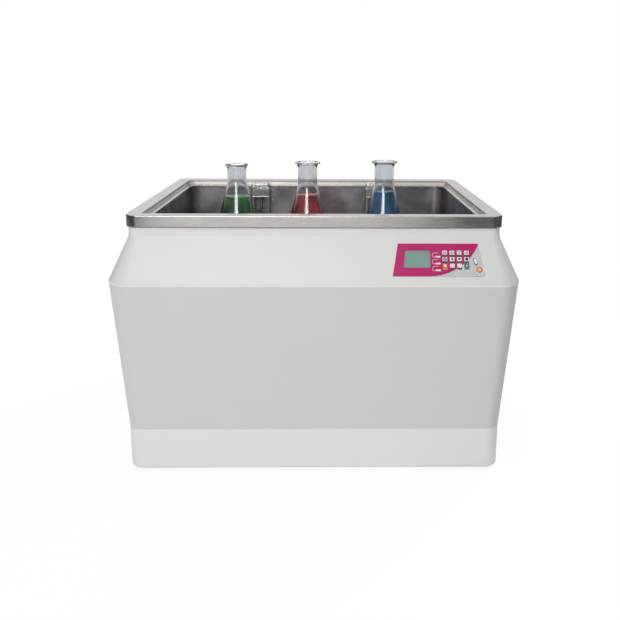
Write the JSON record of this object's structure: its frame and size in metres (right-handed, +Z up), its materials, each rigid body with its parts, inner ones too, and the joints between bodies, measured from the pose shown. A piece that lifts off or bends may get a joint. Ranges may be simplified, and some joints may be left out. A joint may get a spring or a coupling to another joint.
{
  "type": "shaking water bath",
  "caption": "Open bench water bath with a stainless tank and rim, a magnetically shaken tray holding conical flasks in clamps, and a sloping key panel.",
  "frame": {"origin": "on the bench, under the middle of the casing", "axes": "+X to the right seen from the front, +Y from the front to the back, +Z up"},
  "size_m": [0.7772, 0.5812, 0.5847],
  "materials": {
    "white_moulding": "fine satin off-white moulding",
    "brushed_steel": "brushed stainless sheet",
    "tank_steel": "drawn stainless, slightly dull",
    "rubber": "matt",
    "white_plastic": "satin white",
    "panel_magenta": "printed film",
    "display": "grey-green display window",
    "lamp_orange": "domed lens",
    "circuit_board": "solder mask",
    "magnet": "coated magnet",
    "glass": "clear borosilicate glass",
    "green_liquid": "dark green liquid",
    "red_liquid": "dark red liquid",
    "blue_liquid": "dark blue liquid",
    "aluminium": "machined",
    "brass": "turned",
    "dark_metal": "black painted",
    "black_plastic": "satin",
    "red_plastic": "satin"
  },
  "bodies": {
    "base": {"casing": "white_moulding", "plinth": "white_moulding", "rear_cover": "white_moulding", "base_plate": "brushed_steel", "foot_1": "rubber", "foot_2": "rubber", "foot_3": "rubber", "foot_4": "rubber", "rim_frame": "brushed_steel", "tank": "tank_steel", "heater": "tank_steel", "probe_guard": "brushed_steel", "float_guard": "brushed_steel", "temperature_probe": "brushed_steel", "float_rod": "brushed_steel", "panel_overlay": "panel_magenta", "display_window": "display", "indicator_1": "white_plastic", "indicator_2": "white_plastic", "indicator_3": "white_plastic", "power_lamp": "lamp_orange", "keypad_board": "circuit_board", "tray_track": "tank_steel", "drive_bracket": "brushed_steel", "front_guide_rail": "brushed_steel", "rear_guide_rail": "brushed_steel", "gear_motor": "dark_metal", "mains_inlet": "black_plastic", "drain_valve": "brass"},
    "tray": {"shaking_tray": "brushed_steel", "front_skid": "white_plastic", "rear_skid": "white_plastic", "tray_magnet": "magnet", "flask_clamp_1": "brushed_steel", "flask_clamp_2": "brushed_steel", "flask_clamp_3": "brushed_steel"},
    "green_flask": {"flask_1": "glass", "liquid_1": "green_liquid"},
    "red_flask": {"flask_2": "glass", "liquid_2": "red_liquid"},
    "blue_flask": {"flask_3": "glass", "liquid_3": "blue_liquid"},
    "carriage": {"magnet_carriage": "aluminium", "drive_magnet": "magnet"},
    "crank": {"crank_disc": "brass"},
    "float": {"level_float": "white_plastic"},
    "switch": {"mains_switch": "black_plastic"},
    "tap": {"drain_handle": "red_plastic"},
    "key_01": {"key_01": "white_plastic"},
    "key_02": {"key_02": "white_plastic"},
    "key_03": {"key_03": "white_plastic"},
    "key_04": {"key_04": "white_plastic"},
    "key_05": {"key_05": "white_plastic"},
    "key_06": {"key_06": "white_plastic"},
    "key_07": {"key_07": "white_plastic"},
    "key_08": {"key_08": "white_plastic"},
    "key_09": {"key_09": "white_plastic"},
    "key_10": {"key_10": "white_plastic"},
    "key_11": {"key_11": "white_plastic"},
    "key_12": {"key_12": "white_plastic"}
  },
  "joints": [
    {"name": "tray_shake", "type": "slide", "parent": "base", "child": "tray", "axis": [1, 0, 0], "range_m": [-0.015, 0.015]},
    {"name": "carriage_slide", "type": "slide", "parent": "base", "child": "carriage", "axis": [1, 0, 0], "range_m": [-0.015, 0.015]},
    {"name": "crank_turn", "type": "hinge", "parent": "base", "child": "crank", "pos_m": [0, -0.022, 0.29], "axis": [0, 0, 1], "range_deg": [-90, 90]},
    {"name": "green_flask_lift", "type": "slide", "parent": "tray", "child": "green_flask", "axis": [0, 0, 1], "range_m": [0, 0.25]},
    {"name": "red_flask_lift", "type": "slide", "parent": "tray", "child": "red_flask", "axis": [0, 0, 1], "range_m": [0, 0.25]},
    {"name": "blue_flask_lift", "type": "slide", "parent": "tray", "child": "blue_flask", "axis": [0, 0, 1], "range_m": [0, 0.25]},
    {"name": "float_rise", "type": "slide", "parent": "base", "child": "float", "axis": [0, 0, 1], "range_m": [0, 0.015]},
    {"name": "switch_rock", "type": "hinge", "parent": "base", "child": "switch", "pos_m": [-0.183, 0.26964, 0.045], "axis": [1, 0, 0], "range_deg": [0, 18]},
    {"name": "tap_turn", "type": "hinge", "parent": "base", "child": "tap", "pos_m": [0.255, 0.27869, 0.057], "axis": [0, 0, 1], "range_deg": [0, 90]},
    {"name": "key_01_press", "type": "slide", "parent": "base", "child": "key_01", "axis": [0, 0.9092, -0.4163], "range_m": [0, 0.0007], "stiffness_N_per_m": 400, "springref_m": -0.0008},
    {"name": "key_02_press", "type": "slide", "parent": "base", "child": "key_02", "axis": [0, 0.9092, -0.4163], "range_m": [0, 0.0007], "stiffness_N_per_m": 400, "springref_m": -0.0008},
    {"name": "key_03_press", "type": "slide", "parent": "base", "child": "key_03", "axis": [0, 0.9092, -0.4163], "range_m": [0, 0.0007], "stiffness_N_per_m": 400, "springref_m": -0.0008},
    {"name": "key_04_press", "type": "slide", "parent": "base", "child": "key_04", "axis": [0, 0.9092, -0.4163], "range_m": [0, 0.0007], "stiffness_N_per_m": 400, "springref_m": -0.0008},
    {"name": "key_05_press", "type": "slide", "parent": "base", "child": "key_05", "axis": [0, 0.9092, -0.4163], "range_m": [0, 0.0007], "stiffness_N_per_m": 400, "springref_m": -0.0008},
    {"name": "key_06_press", "type": "slide", "parent": "base", "child": "key_06", "axis": [0, 0.9092, -0.4163], "range_m": [0, 0.0007], "stiffness_N_per_m": 400, "springref_m": -0.0008},
    {"name": "key_07_press", "type": "slide", "parent": "base", "child": "key_07", "axis": [0, 0.9092, -0.4163], "range_m": [0, 0.0007], "stiffness_N_per_m": 400, "springref_m": -0.0008},
    {"name": "key_08_press", "type": "slide", "parent": "base", "child": "key_08", "axis": [0, 0.9092, -0.4163], "range_m": [0, 0.0007], "stiffness_N_per_m": 400, "springref_m": -0.0008},
    {"name": "key_09_press", "type": "slide", "parent": "base", "child": "key_09", "axis": [0, 0.9092, -0.4163], "range_m": [0, 0.0007], "stiffness_N_per_m": 400, "springref_m": -0.0008},
    {"name": "key_10_press", "type": "slide", "parent": "base", "child": "key_10", "axis": [0, 0.9092, -0.4163], "range_m": [0, 0.0007], "stiffness_N_per_m": 400, "springref_m": -0.0008},
    {"name": "key_11_press", "type": "slide", "parent": "base", "child": "key_11", "axis": [0, 0.9092, -0.4163], "range_m": [0, 0.0007], "stiffness_N_per_m": 400, "springref_m": -0.0008},
    {"name": "key_12_press", "type": "slide", "parent": "base", "child": "key_12", "axis": [0, 0.9092, -0.4163], "range_m": [0, 0.0007], "stiffness_N_per_m": 400, "springref_m": -0.0008}
  ],
  "couplings": [
    {"joint": "carriage_slide", "follows": "tray_shake", "ratio": 1},
    {"joint": "crank_turn", "follows": "tray_shake", "rad_per_m": 104.72}
  ]
}
